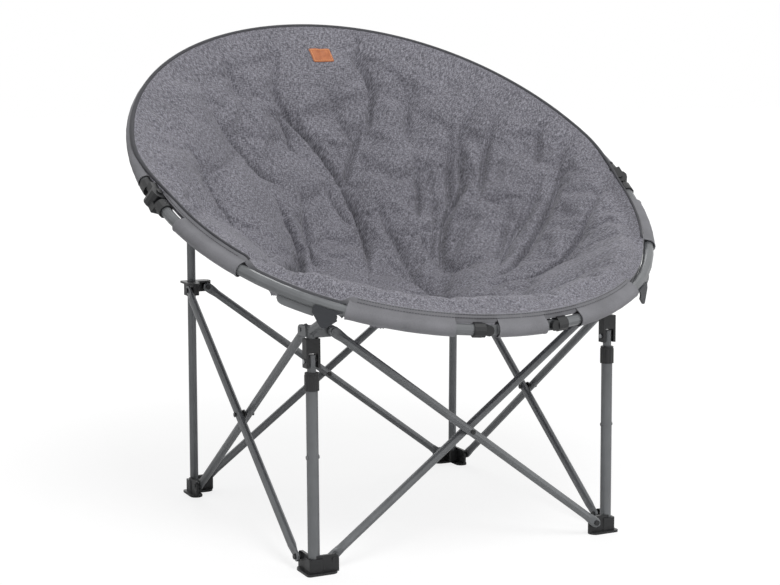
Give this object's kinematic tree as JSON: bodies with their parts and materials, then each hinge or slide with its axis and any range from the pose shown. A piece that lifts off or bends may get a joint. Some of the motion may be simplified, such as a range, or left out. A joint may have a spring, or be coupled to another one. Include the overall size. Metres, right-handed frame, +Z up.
{
  "type": "folding saucer chair",
  "caption": "Folding saucer chair with a padded grey bowl on a round tilted ring, over a black frame of crossed braces.",
  "frame": {"origin": "on the floor under the middle of the chair's box", "axes": "+Z up, -Y the front where the ring is low, +X the sitter's left"},
  "size_m": [0.975, 0.8742, 0.9066],
  "materials": {
    "metal": "dark grey powder coat",
    "pins": "zinc plated",
    "fittings": "black moulded",
    "pad": "heather grey woven",
    "sleeves": "plain grey woven"
  },
  "bodies": {
    "base": {"foot_a": "fittings", "post_a": "metal", "collar_a": "fittings"},
    "ab1": {"brace_ab1": "metal"},
    "ab2": {"brace_ab2": "metal", "rivet_ab": "fittings"},
    "corner_b": {"foot_b": "fittings", "post_b": "metal", "collar_b": "fittings"},
    "hub_left": {"hub_a": "metal", "fork_a": "fittings", "fork_pin_a": "pins", "inner_tube_a": "metal"},
    "hub_right": {"hub_b": "metal", "fork_b": "fittings", "fork_pin_b": "pins", "inner_tube_b": "metal"},
    "ac1": {"brace_ac1": "metal", "rivet_ac": "fittings"},
    "ac2": {"brace_ac2": "metal"},
    "corner_c": {"foot_c": "fittings", "post_c": "metal", "saddle_right": "metal"},
    "slide_c": {"slider_c": "fittings"},
    "bd1": {"brace_bd1": "metal"},
    "bd2": {"brace_bd2": "metal", "rivet_bd": "fittings"},
    "corner_d": {"foot_d": "fittings", "post_d": "metal", "saddle_left": "metal"},
    "slide_d": {"slider_d": "fittings"},
    "cd1": {"brace_cd1": "metal", "rivet_cd": "fittings"},
    "cd2": {"brace_cd2": "metal"},
    "arc_fr": {"arc_front_right": "metal", "ring_bracket_right": "metal", "clip_right": "fittings", "knuckle_front_right": "fittings", "sleeve_front_right": "sleeves", "sleeve_side_right": "sleeves", "pad_front_right": "pad"},
    "arc_fl": {"arc_front_left": "metal", "ring_bracket_left": "metal", "clip_left": "fittings", "knuckle_front_left": "fittings", "sleeve_front_left": "sleeves", "sleeve_side_left": "sleeves", "pad_front_left": "pad"},
    "arc_br": {"arc_back_right": "metal", "knuckle_back_right": "fittings", "back_hinge_right": "fittings", "sleeve_back_right": "sleeves", "pad_back_right": "pad"},
    "arc_bl": {"arc_back_left": "metal", "knuckle_back_left": "fittings", "back_hinge_left": "fittings", "sleeve_back_left": "sleeves", "pad_back_left": "pad"},
    "link": {"centre_link": "metal", "sleeve_centre": "sleeves"}
  },
  "joints": [
    {"name": "fold", "type": "hinge", "parent": "base", "child": "ab1", "pos_m": [-0.2555, -0.25076, 0.023], "axis": [0, -0.9998, 0.0202], "range_deg": [0, 45.22]},
    {"name": "cross_ab", "type": "hinge", "parent": "ab1", "child": "ab2", "pos_m": [0, -0.24691, 0.21396], "axis": [0, -0.9998, 0.0202], "range_deg": [-90.64, 0]},
    {"name": "pin_b", "type": "hinge", "parent": "ab2", "child": "corner_b", "pos_m": [0.2555, -0.25076, 0.023], "axis": [0, -0.9998, 0.0202], "range_deg": [0, 45.42]},
    {"name": "hub_a_pin", "type": "hinge", "parent": "ab2", "child": "hub_left", "pos_m": [-0.2555, -0.24306, 0.40492], "axis": [0, -0.9998, 0.0202], "range_deg": [0, 45.42]},
    {"name": "hub_b_pin", "type": "hinge", "parent": "ab1", "child": "hub_right", "pos_m": [0.2555, -0.24306, 0.40492], "axis": [0, -0.9998, 0.0202], "range_deg": [-45.42, 0]},
    {"name": "pin_ac", "type": "hinge", "parent": "base", "child": "ac1", "pos_m": [-0.2875, -0.21876, 0.023], "axis": [1, 0, 0], "range_deg": [0, 45.42]},
    {"name": "cross_ac", "type": "hinge", "parent": "ac1", "child": "ac2", "pos_m": [-0.2875, 0.03674, 0.214], "axis": [1, 0, 0], "range_deg": [-90.64, 0]},
    {"name": "pin_c", "type": "hinge", "parent": "ac2", "child": "corner_c", "pos_m": [-0.2875, 0.29224, 0.023], "axis": [1, 0, 0], "range_deg": [0, 45.42]},
    {"name": "slide_c_pin", "type": "hinge", "parent": "ac1", "child": "slide_c", "pos_m": [-0.2875, 0.29224, 0.405], "axis": [1, 0, 0], "range_deg": [-45.42, 0]},
    {"name": "pin_bd", "type": "hinge", "parent": "corner_b", "child": "bd1", "pos_m": [0.2875, -0.21876, 0.023], "axis": [1, 0, 0], "range_deg": [0, 45.42]},
    {"name": "cross_bd", "type": "hinge", "parent": "bd1", "child": "bd2", "pos_m": [0.2875, 0.03674, 0.214], "axis": [1, 0, 0], "range_deg": [-90.64, 0]},
    {"name": "pin_d", "type": "hinge", "parent": "bd2", "child": "corner_d", "pos_m": [0.2875, 0.29224, 0.023], "axis": [1, 0, 0], "range_deg": [0, 45.42]},
    {"name": "slide_d_pin", "type": "hinge", "parent": "bd1", "child": "slide_d", "pos_m": [0.2875, 0.29224, 0.405], "axis": [1, 0, 0], "range_deg": [-45.42, 0]},
    {"name": "pin_cd", "type": "hinge", "parent": "corner_c", "child": "cd1", "pos_m": [-0.2555, 0.32424, 0.023], "axis": [0, -1, 0], "range_deg": [0, 45.42]},
    {"name": "cross_cd", "type": "hinge", "parent": "cd1", "child": "cd2", "pos_m": [0, 0.32424, 0.214], "axis": [0, -1, 0], "range_deg": [-90.64, 0]},
    {"name": "arc_fr_pivot", "type": "hinge", "parent": "hub_left", "child": "arc_fr", "pos_m": [-0.2835, -0.30876, 0.4365], "axis": [0.0306, -0.9918, 0.1241], "range_deg": [0, 114.24], "deforming": ["pad_front_right"]},
    {"name": "arc_fl_pivot", "type": "hinge", "parent": "hub_right", "child": "arc_fl", "pos_m": [0.2835, -0.30876, 0.4365], "axis": [0.0306, 0.9918, -0.1241], "range_deg": [0, 114.24], "deforming": ["pad_front_left"]},
    {"name": "knuckle_right_pivot", "type": "hinge", "parent": "arc_fr", "child": "arc_br", "pos_m": [-0.46854, -0.00702, 0.60953], "axis": [-0.353, 0.5369, -0.7662], "range_deg": [0, 104.89], "deforming": ["pad_back_right"]},
    {"name": "knuckle_left_pivot", "type": "hinge", "parent": "arc_fl", "child": "arc_bl", "pos_m": [0.46854, -0.00702, 0.60953], "axis": [-0.353, -0.5369, 0.7662], "range_deg": [0, 104.89], "deforming": ["pad_back_left"]},
    {"name": "link_pivot", "type": "hinge", "parent": "arc_fr", "child": "link", "pos_m": [-0.06135, -0.42105, 0.41689], "axis": [-0.128, -0.9918, 0], "range_deg": [0, 55.2]}
  ],
  "couplings": [
    {"joint": "cross_ab", "follows": "fold", "ratio": -2},
    {"joint": "pin_b", "follows": "fold", "ratio": 1},
    {"joint": "hub_a_pin", "follows": "fold", "ratio": 1},
    {"joint": "hub_b_pin", "follows": "fold", "ratio": -1},
    {"joint": "pin_ac", "follows": "fold", "ratio": 1},
    {"joint": "cross_ac", "follows": "fold", "ratio": -2},
    {"joint": "pin_c", "follows": "fold", "ratio": 1},
    {"joint": "slide_c_pin", "follows": "fold", "ratio": -1},
    {"joint": "pin_bd", "follows": "fold", "ratio": 1},
    {"joint": "cross_bd", "follows": "fold", "ratio": -2},
    {"joint": "pin_d", "follows": "fold", "ratio": 1},
    {"joint": "slide_d_pin", "follows": "fold", "ratio": -1},
    {"joint": "pin_cd", "follows": "fold", "ratio": 1},
    {"joint": "cross_cd", "follows": "fold", "ratio": -2},
    {"joint": "arc_fr_pivot", "follows": "fold", "ratio": 2.5218},
    {"joint": "arc_fl_pivot", "follows": "fold", "ratio": 2.5218},
    {"joint": "knuckle_right_pivot", "follows": "fold", "ratio": 2.3151},
    {"joint": "knuckle_left_pivot", "follows": "fold", "ratio": 2.3151},
    {"joint": "link_pivot", "follows": "fold", "ratio": 1.2163}
  ]
}
